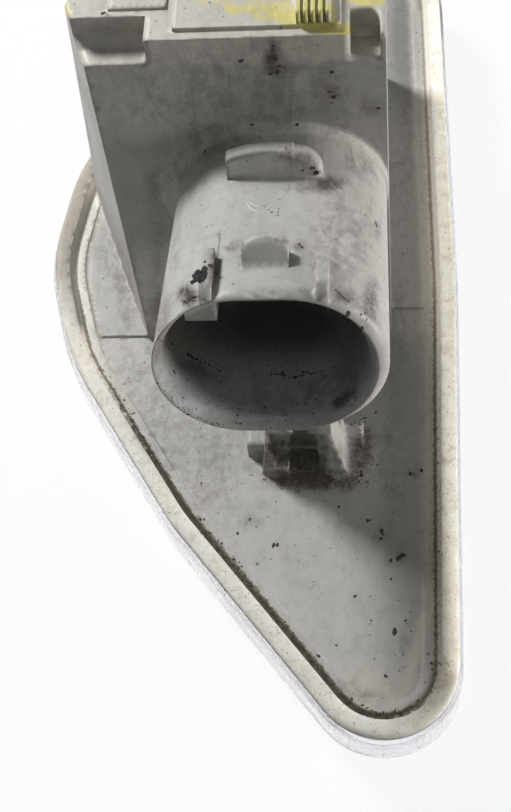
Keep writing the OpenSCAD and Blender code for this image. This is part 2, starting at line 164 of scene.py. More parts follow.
class Shade:
    """Short calls for building one material's nodes."""

    def __init__(self, name):
        self.material = bpy.data.materials.new(name)
        self.material.use_nodes = True
        self.tree = self.material.node_tree
        self.shader = self.tree.nodes["Principled BSDF"]
        self.place = self.add("ShaderNodeTexCoord").outputs["Object"]

    def add(self, kind, **settings):
        """A new node with its settings."""
        node = self.tree.nodes.new(kind)
        for key, value in settings.items():
            setattr(node, key, value)
        return node

    def feed(self, socket, value):
        """Joins an output to a socket, or gives the socket a number or a colour."""
        if isinstance(value, bpy.types.NodeSocket):
            self.tree.links.new(value, socket)
        elif socket.type == "RGBA":
            colour = value if isinstance(value, tuple) else (value, value, value)
            socket.default_value = (*colour, 1)
        else:
            socket.default_value = value

    def noise(self, scale, detail=3.0, rough=0.55, warp=0.0, stretch=None):
        """Noise in the piece's own frame, stretched if a scale for each axis is given."""
        node = self.add("ShaderNodeTexNoise")
        place = self.place
        if stretch:
            mapping = self.add("ShaderNodeMapping")
            self.feed(mapping.inputs["Vector"], place)
            mapping.inputs["Scale"].default_value = stretch
            place = mapping.outputs[0]
        self.feed(node.inputs["Vector"], place)
        node.inputs["Scale"].default_value = scale
        node.inputs["Detail"].default_value = detail
        node.inputs["Roughness"].default_value = rough
        node.inputs["Distortion"].default_value = warp
        return node.outputs["Fac"]

    def dots(self, scale, size, share):
        """Irregular specks: a share of the cells of a size given as part of a cell."""
        shift = self.add("ShaderNodeTexNoise")
        self.feed(shift.inputs["Vector"], self.place)
        shift.inputs["Scale"].default_value = scale * 3
        bend = self.add("ShaderNodeVectorMath", operation="SCALE")
        self.feed(bend.inputs[0], shift.outputs["Color"])
        bend.inputs["Scale"].default_value = 0.35 / scale
        moved = self.add("ShaderNodeVectorMath", operation="ADD")
        self.feed(moved.inputs[0], self.place)
        self.feed(moved.inputs[1], bend.outputs[0])
        cells = self.add("ShaderNodeTexVoronoi")
        self.feed(cells.inputs["Vector"], moved.outputs[0])
        cells.inputs["Scale"].default_value = scale
        parts = self.add("ShaderNodeSeparateColor")
        self.feed(parts.inputs[0], cells.outputs["Color"])
        size_here = self.maths("MULTIPLY", parts.outputs[1], size)
        inside = self.maths("LESS_THAN", cells.outputs["Distance"], size_here)
        picked = self.maths("LESS_THAN", parts.outputs[0], share)
        return self.maths("MULTIPLY", inside, picked)

    def maths(self, operation, first, second=None):
        """One operation on one or two values."""
        node = self.add("ShaderNodeMath", operation=operation)
        self.feed(node.inputs[0], first)
        if second is not None:
            self.feed(node.inputs[1], second)
        return node.outputs[0]

    def step(self, value, low, high, out_low=0.0, out_high=1.0):
        """Smooth step from one result to another while a value goes from low to high."""
        node = self.add("ShaderNodeMapRange", interpolation_type="SMOOTHSTEP")
        self.feed(node.inputs["Value"], value)
        node.inputs["From Min"].default_value = low
        node.inputs["From Max"].default_value = high
        node.inputs["To Min"].default_value = out_low
        node.inputs["To Max"].default_value = out_high
        return node.outputs["Result"]

    def mix(self, share, first, second):
        """A share of the second colour over the first."""
        node = self.add("ShaderNodeMix", data_type="RGBA")
        self.feed(node.inputs[0], share)
        self.feed(node.inputs[6], first)
        self.feed(node.inputs[7], second)
        return node.outputs[2]

    def painted(self, name):
        """A value painted on the piece's points."""
        return self.add("ShaderNodeAttribute", attribute_name=name).outputs["Fac"]

    def rounded_edge(self, radius):
        """Normal with rounded edges, and how far it turns there."""
        bevel = self.add("ShaderNodeBevel", samples=6)
        bevel.inputs["Radius"].default_value = radius
        plain = self.add("ShaderNodeNewGeometry")
        same = self.add("ShaderNodeVectorMath", operation="DOT_PRODUCT")
        self.feed(same.inputs[0], bevel.outputs[0])
        self.feed(same.inputs[1], plain.outputs["Normal"])
        return bevel.outputs[0], self.step(same.outputs["Value"], 0.995, 0.9)

    def hollows(self, distance):
        """How far a point lies in a corner or a groove."""
        node = self.add("ShaderNodeAmbientOcclusion", samples=8)
        node.inputs["Distance"].default_value = distance
        return self.maths("SUBTRACT", 1.0, node.outputs["AO"])

    def bump(self, height, strength, distance, normal=None):
        """Normal with fine relief."""
        node = self.add("ShaderNodeBump")
        node.inputs["Strength"].default_value = strength
        node.inputs["Distance"].default_value = distance
        self.feed(node.inputs["Height"], height)
        if normal is not None:
            self.feed(node.inputs["Normal"], normal)
        return node.outputs[0]

    def finish(self, **inputs):
        """Gives the shader's inputs their values. Returns the material."""
        for key, value in inputs.items():
            self.feed(self.shader.inputs[key.replace("_", " ")], value)
        return self.material


# plastics
GREY = (0.47, 0.458, 0.43)
GREY_STAIN = (0.30, 0.28, 0.25)
# paler grey: painted light on the bead and the box's top
GREY_PAINTED_LIGHT = (0.66, 0.625, 0.555)
# edge tone: wear and painted highlight
GREY_WORN_AND_HIGHLIT = (0.78, 0.77, 0.73)
CREAM = (0.74, 0.695, 0.615)
# cream painted lighter and darker: painted light and painted shade on the rim
CREAM_PAINTED_LIGHT = (0.9, 0.835, 0.72)
CREAM_PAINTED_SHADE = (0.4, 0.37, 0.32)
CREAM_STAIN = (0.36, 0.3, 0.22)
# cream edge tone: wear and painted highlight
CREAM_WORN_AND_HIGHLIT = (0.82, 0.79, 0.72)
CREAM_SPECK = (0.16, 0.13, 0.10)
# warm tint, made paler as painted light
TAN_AND_LIGHT = (0.84, 0.76, 0.58)
# bluish painted light inside the socket
PAINTED_BLUISH_LIGHT = (0.6, 0.63, 0.69)
# painted shade
SHADED = (0.1, 0.1, 0.105)
# paler tone: painted light on the groove's side and the low steps
PAINTED_LIGHT_TONE = (0.8, 0.77, 0.7)
CRAYON_DARK = (0.62, 0.55, 0.10)
CRAYON_PALE = (0.80, 0.73, 0.26)
PLASTIC_IOR = 1.46

# dirt
GRIME = (0.075, 0.066, 0.056)
SOOT = (0.012, 0.011, 0.011)
SOIL_DARK = (0.03, 0.025, 0.02)
SOIL_PALE = (0.17, 0.13, 0.09)
DUST = (0.24, 0.21, 0.17)


def mottled(shade, scale, detail, colour, low, high):
    """A colour that drifts between a darker and a paler shade of itself."""
    drift = shade.noise(scale, detail)
    return shade.mix(drift, tuple(low * c for c in colour), tuple(high * c for c in colour))


def dirt_and_painted_light(shade, colour, dust=1.0):
    """Dust, grime, soot and specks over a plastic's colour, with painted light on the places painted as
    spared, and grime by occlusion that is partly dirt and partly painted shade in corners. Returns the
    colour and the share of dirt.
    """
    # painted light where the groove's side and the plate's low steps lie in shade; the same paint keeps
    # corner grime off them
    painted_light_spared = shade.painted("painted_light_spared")
    colour = shade.mix(shade.maths("MULTIPLY", painted_light_spared, 0.75), colour, PAINTED_LIGHT_TONE)
    fine = shade.noise(1100, 7, 0.72)
    sooty = shade.noise(3400, 5, 0.7, 0.6)
    wide = shade.noise(120, 4)
    grime = shade.painted("grime")
    soot = shade.painted("soot")
    rubbed = shade.noise(520, 6, 0.7, 1.2, (1.0, 0.45, 0.3))
    both = shade.maths("MULTIPLY", shade.maths("ADD", fine, rubbed), 0.5)
    film = shade.step(shade.maths("ADD", both, shade.maths("MULTIPLY", grime, 0.2)), 0.42, 0.7)
    strong = shade.maths("ADD", shade.maths("MULTIPLY", grime, 0.7), 0.28 * dust)
    colour = shade.mix(shade.maths("MULTIPLY", film, strong), colour, GRIME)
    patch = shade.step(shade.maths("ADD", both, shade.maths("MULTIPLY", grime, 0.3)), 0.745, 0.815)
    colour = shade.mix(shade.maths("MULTIPLY", patch, 0.85), colour, GRIME)
    # grime by occlusion in corners and grooves: partly dirt, partly painted shade
    drifted = shade.maths("ADD", shade.hollows(0.0016), shade.maths("MULTIPLY", wide, 0.5))
    corner = shade.step(drifted, 0.62, 1.05)
    corner = shade.maths("MULTIPLY", corner, shade.maths("SUBTRACT", 1.0, painted_light_spared))
    colour = shade.mix(shade.maths("MULTIPLY", corner, 0.4), colour, GRIME)
    black = shade.step(shade.maths("ADD", sooty, shade.maths("MULTIPLY", soot, 0.3)), 0.76, 0.82)
    colour = shade.mix(black, colour, SOOT)
    specks = shade.maths("MAXIMUM", shade.dots(1100, 0.17, 0.06), shade.dots(2600, 0.3, 0.09))
    specks = shade.maths("MULTIPLY", specks, 0.75 * dust)
    colour = shade.mix(specks, colour, GRIME)
    dirt = shade.maths("MAXIMUM", shade.maths("MAXIMUM", patch, black), specks)
    return colour, dirt


def body_material():
    """Light grey moulded plastic of the plate, box and socket, with crayon, grime and specks, with painted
    light and shade, and with edges painted lighter as wear and highlight.
    """
    shade = Shade("housing_plastic")
    normal, edge = shade.rounded_edge(0.00014)
    tone = mottled(shade, 75, 3, GREY, 0.94, 1.06)
    tone = shade.mix(shade.step(shade.noise(420, 5), 0.35, 0.7, 0.0, 0.10), tone, GREY_STAIN)
    # warm tint and painted light along the foot of the rim
    tone = shade.mix(shade.painted("tan"), tone, TAN_AND_LIGHT)
    # painted light on the bead beside the groove and on the box's top
    tone = shade.mix(shade.painted("pale"), tone, GREY_PAINTED_LIGHT)
    # edges painted lighter, as wear and as painted highlight, except in hollows
    edge_wear_and_highlight = shade.maths("MULTIPLY", edge, shade.step(shade.hollows(0.0009), 0.45, 0.2))
    tone = shade.mix(shade.maths("MULTIPLY", edge_wear_and_highlight, 0.45), tone, GREY_WORN_AND_HIGHLIT)
    # painted bluish light inside the socket
    tone = shade.mix(shade.painted("painted_cool_light"), tone, PAINTED_BLUISH_LIGHT)
    # painted shade inside the socket, and the box's painted shadow on the plate
    tone = shade.mix(shade.painted("deep"), tone, SHADED)
    wax = shade.painted("crayon")
    grain = shade.noise(700, 6, 0.7)
    waxy = shade.step(shade.maths("ADD", grain, shade.maths("MULTIPLY", wax, 0.6)), 0.56, 0.95)
    waxy = shade.maths("MULTIPLY", waxy, shade.step(wax, 0.0, 0.15))
    yellow = shade.mix(shade.noise(260, 3), CRAYON_DARK, CRAYON_PALE)
    tone = shade.mix(shade.maths("MULTIPLY", waxy, 0.85), tone, yellow)
    colour, dirt = dirt_and_painted_light(shade, tone)
    groove = shade.painted("groove")
    gritty = shade.noise(1500, 6, 0.8)
    filled = shade.step(shade.maths("ADD", gritty, shade.maths("MULTIPLY", groove, 0.75)), 0.85, 1.05)
    soil = shade.mix(shade.step(gritty, 0.35, 0.65), SOIL_DARK, SOIL_PALE)
    colour = shade.mix(filled, colour, soil)
    rough = shade.step(shade.noise(160, 4), 0.3, 0.7, 0.42, 0.6)
    rough = shade.mix(dirt, rough, 0.85)
    height = shade.maths("ADD", shade.noise(5200, 2), shade.maths("MULTIPLY", filled, 0.8))
    bumped = shade.bump(height, 0.18, 0.00005, normal)
    return shade.finish(Base_Color=colour, Roughness=rough, Normal=bumped, IOR=PLASTIC_IOR)


def rim_material():
    """Warm cream face of the rim, painted lighter on the right and at the tip and darker on the upper left
    as painted light and shade, with fine dark specks and edges painted lighter as wear and highlight.
    """
    shade = Shade("housing_rim")
    normal, edge = shade.rounded_edge(0.0003)
    tone = mottled(shade, 90, 4, CREAM, 0.93, 1.05)
    # painted light on the rim's right side and tip, and painted shade on its upper left
    painted_light_and_shade = shade.painted("pale")
    tone = shade.mix(painted_light_and_shade, tone, CREAM_PAINTED_LIGHT)
    tone = shade.mix(shade.maths("MULTIPLY", painted_light_and_shade, -1.0), tone, CREAM_PAINTED_SHADE)
    tone = shade.mix(shade.step(shade.noise(700, 6, 0.7), 0.42, 0.72, 0.0, 0.42), tone, CREAM_STAIN)
    # edges painted lighter, as wear and as painted highlight
    tone = shade.mix(shade.maths("MULTIPLY", edge, 0.3), tone, CREAM_WORN_AND_HIGHLIT)
    specks = shade.maths("MAXIMUM", shade.dots(3400, 0.34, 0.07), shade.dots(6000, 0.42, 0.2))
    colour = shade.mix(shade.maths("MULTIPLY", specks, 0.7), tone, CREAM_SPECK)
    colour, dirt = dirt_and_painted_light(shade, colour, 0.6)
    rough = shade.mix(dirt, shade.step(shade.noise(300, 4), 0.3, 0.7, 0.4, 0.55), 0.85)
    bumped = shade.bump(shade.noise(3600, 3), 0.2, 0.00005, normal)
    shade.shader.inputs["Subsurface Radius"].default_value = (1.0, 0.85, 0.7)
    return shade.finish(
        Base_Color=colour,
        Roughness=rough,
        Normal=bumped,
        IOR=PLASTIC_IOR,
        Subsurface_Weight=0.9,
        Subsurface_Scale=0.0028,
    )


def soil_material(name, dark, pale, scale=2600):
    """Dry grit and soot."""
    shade = Shade(name)
    tone = shade.mix(shade.step(shade.noise(scale, 4), 0.3, 0.7), dark, pale)
    bumped = shade.bump(shade.noise(scale * 2, 3), 0.5, 0.0001)
    rough = shade.step(shade.noise(scale, 2), 0.3, 0.7, 0.75, 0.95)
    return shade.finish(Base_Color=tone, Roughness=rough, Normal=bumped)


def lens_material():
    """Clear moulded lens with a dusty film, rubbed dull along its length."""
    shade = Shade("lens_clear")
    film = shade.step(shade.noise(90, 4, 0.6), 0.4, 0.8, 0.02, 0.14)
    streaks = shade.noise(220, 3, 0.6, 0.0, (1.0, 0.2, 1.0))
    rough = shade.step(streaks, 0.35, 0.75, 0.15, 0.22)
    rough = shade.maths("ADD", rough, film)
    colour = shade.mix(film, (0.97, 0.98, 1.0), (0.84, 0.83, 0.8))
    bumped = shade.bump(shade.noise(160, 2), 0.03, 0.0001)
    return shade.finish(
        Base_Color=colour,
        Roughness=rough,
        Normal=bumped,
        IOR=1.25,
        Transmission_Weight=0.94,
        Coat_Weight=0.1,
    )


def mirror_material():
    """Bright metal coating of the reflector, with faint haze."""
    shade = Shade("reflector_metal")
    haze = shade.step(shade.noise(180, 5, 0.6), 0.35, 0.75, 0.08, 0.26)
    tone = shade.mix(shade.noise(140, 3), (0.86, 0.87, 0.9), (0.93, 0.93, 0.94))
    bumped = shade.bump(shade.noise(380, 3), 0.08, 0.0002)
    return shade.finish(Base_Color=tone, Roughness=haze, Metallic=1.0, Normal=bumped)


def moulded(name, dark, pale, rough=0.5, scale=900, metallic=0.0):
    """Plain moulded or rolled stuff with a fine grain, dusty patches and worn edges."""
    shade = Shade(name)
    normal, edge = shade.rounded_edge(0.0002)
    tone = shade.mix(shade.noise(scale, 5), dark, pale)
    tone = shade.mix(shade.step(shade.noise(scale / 4, 4), 0.5, 0.8, 0.0, 0.35), tone, DUST)
    worn = tuple(min(1, c * 1.6 + 0.02) for c in pale)
    tone = shade.mix(shade.maths("MULTIPLY", edge, 0.4), tone, worn)
    coarse = shade.step(shade.noise(scale / 2, 3), 0.3, 0.7, rough - 0.08, rough + 0.12)
    bumped = shade.bump(shade.noise(scale * 4, 3), 0.2, 0.00005, normal)
    return shade.finish(Base_Color=tone, Roughness=coarse, Metallic=metallic, Normal=bumped)


def bulb_material():
    """Amber glass of the indicator bulb."""
    shade = Shade("bulb_amber")
    tone = shade.mix(shade.noise(240, 3), (0.95, 0.45, 0.05), (1.0, 0.58, 0.12))
    rough = shade.step(shade.noise(700, 4), 0.4, 0.8, 0.02, 0.1)
    bumped = shade.bump(shade.noise(420, 2), 0.04, 0.0001)
    return shade.finish(Base_Color=tone, Roughness=rough, IOR=1.5, Transmission_Weight=1.0, Normal=bumped)


# dark and pale tone of each stuff
BLACK_PLASTIC = ((0.02, 0.02, 0.022), (0.04, 0.04, 0.042))
TINNED_BRASS = ((0.55, 0.52, 0.47), (0.72, 0.69, 0.62))
TUNGSTEN = ((0.28, 0.28, 0.3), (0.42, 0.42, 0.45))
COPPERED_WIRE = ((0.5, 0.42, 0.33), (0.68, 0.6, 0.5))

NODE_LOOKS = {
    "lens": lens_material(),
    "reflector": mirror_material(),
    "bulb_holder": moulded("holder_plastic", *BLACK_PLASTIC),
    "contact_left": moulded("contact_metal", *TINNED_BRASS, 0.3, 1200, 1.0),
    "contact_right": moulded("contact_metal_right", *TINNED_BRASS, 0.3, 1200, 1.0),
    "bulb_glass": bulb_material(),
    "bulb_filament": moulded("filament_metal", *TUNGSTEN, 0.35, 3000, 1.0),
    "bulb_lead_left": moulded("lead_metal", *COPPERED_WIRE, 0.3, 2000, 1.0),
    "bulb_lead_right": moulded("lead_metal_right", *COPPERED_WIRE, 0.3, 2000, 1.0),
}
for name, look in NODE_LOOKS.items():
    nodes[name].data.materials.clear()
    nodes[name].data.materials.append(look)


# Flange outline, for the rim's face and the dirt along it

DEGREES_A_STEP = 3


def outline_points():
    """Points along the flange's edge in the housing's frame, anticlockwise."""
    points = []
    count = len(EDGE)
    for index, circle in enumerate(EDGE):
        before = EDGE[index - 1]
        after = EDGE[(index + 1) % count]
        first = leaving(before, circle)
        last = leaving(circle, after)
        turn = (last - first) % 360
        steps = max(2, math.ceil(turn / DEGREES_A_STEP))
        for step in range(steps + 1):
            angle = math.radians(first + turn * step / steps)
            x = circle[0] + circle[2] * math.cos(angle)
            y = circle[1] + circle[2] * math.sin(angle)
            points.append((x, y))
    return points


def leaving(one, two):
    """Angle at which the tangent from one circle to the next touches both."""
    dx = two[0] - one[0]
    dy = two[1] - one[1]
    return math.degrees(math.atan2(dy, dx) - math.acos((one[2] - two[2]) / math.hypot(dx, dy)))


OUTLINE = numpy.array(outline_points())


def insets(places):
    """Distance of each point of the housing's frame from the flange's edge."""
    flat = numpy.array(places)[:, :2]
    nearest = numpy.full(len(flat), 1e9)
    for start, end in zip(OUTLINE, numpy.roll(OUTLINE, -1, axis=0)):
        run = end - start
        length = float(run.dot(run))
        if length < 1e-9:
            continue
        share = numpy.clip(((flat - start) @ run) / length, 0, 1)
        gap = flat - (start + share[:, None] * run)
        nearest = numpy.minimum(nearest, numpy.hypot(gap[:, 0], gap[:, 1]))
    return nearest


# Stains, and painted light and shade, read off the photograph as soft spots and strokes, placed by its
# pixels

# each spot: x, y, radius across, radius down, turn in degrees, strength
GRIME_SPOTS = [
    (225, 100, 150, 60, 0, 0.34),
    (272, 58, 9, 22, 8, 0.9),
    (297, 158, 22, 9, 12, 0.75),
    (283, 70, 14, 10, 0, 0.6),
    (262, 46, 16, 9, 0, 0.4),
    (238, 62, 14, 12, 0, 0.3),
    (333, 92, 16, 9, 20, 0.55),
    (331, 68, 10, 8, 0, 0.35),
    (372, 105, 14, 12, 0, 0.45),
    (245, 90, 26, 14, 0, 0.3),
    (160, 125, 30, 12, 10, 0.25),
    (205, 140, 30, 22, -35, 0.5),
    (178, 168, 14, 26, 20, 0.45),
    (157, 182, 12, 40, 10, 0.45),
    (160, 230, 9, 45, 4, 0.35),
    (330, 130, 45, 10, 15, 0.3),
    (362, 165, 18, 26, -20, 0.45),
    (328, 184, 24, 9, -8, 0.8),
    (300, 187, 16, 7, 0, 0.4),
    (232, 247, 14, 6, -10, 0.6),
    (243, 262, 7, 10, 0, 0.45),
    (300, 245, 9, 7, 0, 0.6),
    (279, 240, 12, 5, 10, 0.7),
    (214, 268, 8, 22, 5, 0.75),
    (188, 296, 14, 12, 50, 0.9),
    (345, 297, 17, 8, 15, 0.75),
    (370, 305, 9, 30, 5, 0.6),
    (376, 228, 6, 12, 0, 0.4),
    (175, 240, 7, 40, 6, 0.3),
    (290, 292, 60, 5, 0, 0.35),
    (306, 480, 48, 12, 3, 1.0),
    (300, 452, 36, 26, 0, 0.7),
    (338, 456, 12, 14, 0, 0.5),
    (362, 452, 13, 30, 15, 0.75),
    (345, 480, 16, 14, 0, 0.6),
    (268, 455, 12, 20, 0, 0.45),
    (385, 440, 12, 10, 0, 0.4),
    (388, 462, 22, 22, 0, 0.25),
    (232, 505, 12, 10, 0, 0.35),
    (253, 520, 12, 10, 0, 0.3),
    (395, 490, 16, 12, 0, 0.35),
    (380, 530, 10, 16, 20, 0.35),
    (412, 474, 8, 8, 0, 0.45),
    (396, 560, 14, 8, -20, 0.4),
    (310, 586, 10, 6, 0, 0.25),
    (185, 410, 40, 16, 40, 0.2),
    (110, 250, 18, 40, -20, 0.25),
    (400, 320, 9, 60, 0, 0.25),
    (405, 150, 9, 80, 0, 0.2),
    (342, 238, 34, 52, 10, 0.42),
    (158, 328, 14, 46, 8, 0.55),
    (125, 285, 14, 60, -8, 0.42),
    (200, 462, 50, 70, -30, 0.27),
    (150, 400, 26, 70, -32, 0.28),
    (272, 452, 9, 18, 0, 0.9),
    (322, 452, 9, 20, 0, 0.8),
    (350, 690, 30, 10, 15, 0.45),
    (405, 650, 8, 30, 10, 0.25),
    (175, 395, 22, 8, 40, 0.5),
    (200, 372, 26, 10, 25, 0.5),
    (330, 385, 50, 16, -20, 0.4),
    (345, 400, 22, 8, -35, 0.9),
    (268, 404, 60, 14, 0, 0.25),
]
SOOT_SPOTS = [
    (192, 298, 10, 10, 50, 0.75),
    (208, 275, 5, 16, 0, 0.5),
    (346, 300, 14, 7, 20, 0.55),
    (374, 300, 7, 26, 5, 0.6),
    (372, 330, 6, 14, 0, 0.4),
    (278, 66, 7, 12, 0, 0.65),
    (270, 50, 7, 10, 0, 0.45),
    (335, 95, 9, 6, 20, 0.5),
    (376, 106, 5, 14, 0, 0.35),
    (345, 402, 14, 5, -35, 0.85),
    (300, 474, 36, 9, 3, 0.55),
    (332, 185, 14, 5, -8, 0.45),
    (184, 402, 34, 9, 42, 0.45),
    (290, 430, 60, 3, 0, 0.5),
    (235, 247, 8, 4, 0, 0.4),
    (285, 372, 40, 8, 0, 0.35),
    (205, 362, 24, 8, 27, 0.35),
    (268, 400, 70, 20, 0, 0.2),
    (398, 558, 8, 5, -15, 0.5),
    (306, 462, 22, 10, 0, 0.5),
    (270, 448, 8, 14, 0, 0.65),
    (324, 446, 8, 16, 0, 0.6),
]
CRAYON_SPOTS = [
    (216, 0, 24, 8, 0, 0.45),
    (238, 8, 26, 9, 12, 0.5),
    (265, 12, 30, 10, 14, 0.6),
    (290, 17, 30, 11, 10, 0.75),
    (312, 8, 22, 12, 0, 1.0),
    (322, 26, 32, 9, 8, 0.85),
    (342, 29, 14, 7, 0, 0.8),
    (368, 0, 22, 7, 0, 0.8),
    (64, 8, 9, 14, 0, 0.45),
    (200, 2, 16, 5, 0, 0.4),
    (262, 4, 60, 6, 0, 0.55),
]
# painted bluish light and painted shade inside the socket
PAINTED_COOL_LIGHT_SPOTS = [
    (262, 392, 110, 42, 0, 0.9),
]
PAINTED_SHADE_SPOTS = [
    (280, 322, 85, 34, 0, 0.85),
    (355, 350, 22, 40, 0, 0.5),
]
# painted shadow on the plate, cast by the part of the box that the photograph cuts off
PAINTED_SHADOW_SPOTS = [
    (407, 40, 22, 84, 0, 0.62),
]
# painted light on the plate's low steps, which the grime in corners also spares
PAINTED_LIGHT_SPOTS = [
    (118, 337, 42, 4, 0, 1.0),
    (408, 308, 24, 4, 0, 1.0),
]
# warm tint and painted light along the foot of the rim on the right
TAN_AND_LIGHT_SPOTS = [
    (427, 180, 5, 260, 0, 0.85),
    (427, 470, 5, 160, 0, 0.7),
    (420, 640, 7, 60, 15, 0.4),
    (380, 690, 40, 24, 20, 0.12),
]


# a spot is full near its middle and fades out a little past its radius
SPOT_END = 1.25
SPOT_FADE = 0.75


def spread(spots, x, y):
    """Strength of the strongest soft spot at a pixel."""
    best = 0.0
    for at_x, at_y, across, down, turn, strength in spots:
        dx = x - at_x
        dy = y - at_y
        if abs(dx) > across + down or abs(dy) > across + down:
            continue
        cos = math.cos(math.radians(turn))
        sin = math.sin(math.radians(turn))
        far = math.hypot((dx * cos + dy * sin) / across, (dy * cos - dx * sin) / down)
        if far < SPOT_END:
            best = max(best, strength * min(1.0, (SPOT_END - far) / SPOT_FADE))
    return best


# The housing is shown as a finely divided copy of its own mesh, which carries the stains and the painted
# light and shade

# longest edges in the photograph's sight and out of it, and how often they may be halved
FINE_EDGE = 0.0008
COARSE_EDGE = 0.004
HALVINGS = 9
SHARP_ANGLE = math.radians(50)
OPEN_EPS = 0.00006

# values stored on the housing's points: stains and dirt, and painted light and shade
PAINTED = ("grime", "soot", "crayon", "tan", "groove", "painted_light_spared", "pale", "painted_cool_light", "deep")
PHOTO_MARGIN = 20

# heights over the plate: under the groove, on the rim's side, under the crayon, under the box's top, which
# is painted lighter
GROOVE_LOW = -0.6
RIM_LOW = 0.35
CRAYON_FROM = 38
TOP_FROM = 41.2

# places on the flange where its look changes, and widths of painted bands
RIGHT_SIDE = 12
LEFT_HALF = 2
CLEAN_FROM = 2
BEAD_BAND = 1.3
RIM_SIDE = 0.02

# how full of dirt the groove is: where it's clean, on the right, and at least elsewhere
FULL_CLEAN = 0.1
FULL_RIGHT_NEAR = 0.5
FULL_RIGHT_FAR = 0.26
FULL_LEAST = 0.4


def divided(mesh, seen, fine, coarse):
    """The mesh with no edge longer than fine where it is seen, or coarse where it isn't."""
    work = bmesh.new()
    work.from_mesh(mesh)
    bmesh.ops.remove_doubles(work, verts=work.verts, dist=1e-6)
    for _ in range(HALVINGS):
        long = []
        for edge in work.edges:
            length = edge.calc_length()
            if length > coarse or (length > fine and seen((edge.verts[0].co + edge.verts[1].co) / 2)):
                long.append(edge)
        if not long:
            break
        bmesh.ops.subdivide_edges(work, edges=long, cuts=1)
        bmesh.ops.triangulate(work, faces=work.faces)
    return work


def search_tree(mesh):
    """Tree that finds where a line meets a mesh."""
    work = bmesh.new()
    work.from_mesh(mesh)
    tree = BVHTree.FromBMesh(work)
    work.free()
    return tree


HOUSING_TREE = search_tree(nodes["housing"].data)


def seen(point):
    """Whether nothing of the housing stands between a point and the camera."""
    way = (EYE - point).normalized()
    return HOUSING_TREE.ray_cast(point + way * OPEN_EPS, way)[0] is None


def heavy(x, y):
    """How full of dirt the groove is, by the place on the flange."""
    if y > CLEAN_FROM and x < 0:
        return FULL_CLEAN
    if x > RIGHT_SIDE:
        return FULL_RIGHT_NEAR if y < 0 else FULL_RIGHT_FAR
    return FULL_LEAST + (1 - FULL_LEAST) * ramp(-y, -CLEAN_FROM, 24)


def in_socket(place):
    """Whether a point lies on the inside of the plug socket."""
    away = place - MOUTH_AT
    up = away.dot(MOUTH_UP)
    side = max(0, abs(away.x) - MOUTH_HALF_FLAT)
    return math.hypot(up, side) < INSIDE_R and -1 < away.y < INSIDE_DEPTH


def pale(place, inset):
    """How much painted light the rim, the bead inside the groove and the box's top get. Below zero is
    painted shade.
    """
    if place.z > TOP_FROM:
        return 0.6
    if inset < RIM_W:
        right = ramp(place.x, RIGHT_SIDE, RIGHT_SIDE + 4)
        tip = ramp(-place.y, 2, 12)
        # painted shade on the rim's upper left
        dull = 1.2 * ramp(place.y, 1, 10) if place.x < LEFT_HALF else 0.0
        return max(right, tip) - dull
    gap = inset - RIM_W - GROOVE_W
    if gap > BEAD_BAND:
        return 0.0
    if place.x > RIGHT_SIDE:
        return 0.5
    if place.x > LEFT_HALF:
        return 0.0
    return 0.75 * ramp(place.y, -12, 2) * ramp(BEAD_BAND - gap, 0, 0.25)


def in_photo(x, y):
    """Whether a pixel lies in the photograph or just outside it."""
    beside = -PHOTO_MARGIN < x < IMAGE_WIDTH + PHOTO_MARGIN
    return beside and -PHOTO_MARGIN < y < IMAGE_HEIGHT + PHOTO_MARGIN


def stains(place, inset, point):
    """What is painted on one point of the housing, by name."""
    found = {}
    x, y = pixel(point)
    if in_photo(x, y) and seen(point):
        found["grime"] = spread(GRIME_SPOTS, x, y)
        found["soot"] = spread(SOOT_SPOTS, x, y)
        # warm tint and painted light along the rim's foot
        found["tan"] = spread(TAN_AND_LIGHT_SPOTS, x, y)
        # painted light on the plate's low steps
        found["painted_light_spared"] = 0.7 * spread(PAINTED_LIGHT_SPOTS, x, y)
        # painted shadow of the box on the plate
        found["deep"] = spread(PAINTED_SHADOW_SPOTS, x, y)
        if in_socket(place):
            # painted bluish light inside the socket
            found["painted_cool_light"] = spread(PAINTED_COOL_LIGHT_SPOTS, x, y)
            # painted shade inside the socket
            found["deep"] = spread(PAINTED_SHADE_SPOTS, x, y)
        if place.z > CRAYON_FROM:
            found["crayon"] = spread(CRAYON_SPOTS, x, y)
    if GROOVE_LOW < place.z < RIM_H - 0.1 and inset > RIM_W - 0.05:
        beside = max(0, abs(inset - RIM_W - GROOVE_W / 2) - GROOVE_W / 2)
        full = heavy(place.x, place.y)
        found["groove"] = full * max(0, 1 - beside / 0.8)
        # painted light beside the groove where it is clean
        found["painted_light_spared"] = max(0, 1 - 1.8 * full) * max(0, 1 - max(0, beside - BEAD_BAND) / 0.4)
    if place.z < RIM_H + 0.1 or place.z > TOP_FROM:
        # painted light and shade on the rim, the bead and the box's top
        found["pale"] = pale(place, inset)
    return found


def paint(mesh):
    """Stores the stains and the painted light and shade on the points of the housing's mesh."""
    places = [Vector(vertex.co) / MM - SHIFT for vertex in mesh.vertices]
    values = {name: numpy.zeros(len(places)) for name in PAINTED}
    gaps = insets([tuple(place) for place in places])
    for index, vertex in enumerate(mesh.vertices):
        for name, strength in stains(places[index], gaps[index], vertex.co).items():
            values[name][index] = strength
    for name, painted in values.items():
        mesh.attributes.new(name, "FLOAT", "POINT").data.foreach_set("value", painted)


def share_out(mesh):
    """Gives the rim's face and side the rim's material, and the rest the body's."""
    mesh.materials.append(body_material())
    mesh.materials.append(rim_material())
    middles = [polygon.center / MM - SHIFT for polygon in mesh.polygons]
    gaps = insets([tuple(middle) for middle in middles])
    for polygon, middle, gap in zip(mesh.polygons, middles, gaps):
        on_face = RIM_LOW < middle.z < RIM_H + 0.1 and gap < RIM_W - RIM_SIDE
        on_side = 0 < middle.z < RIM_H and gap < 0.05
        polygon.material_index = 1 if on_face or on_side else 0


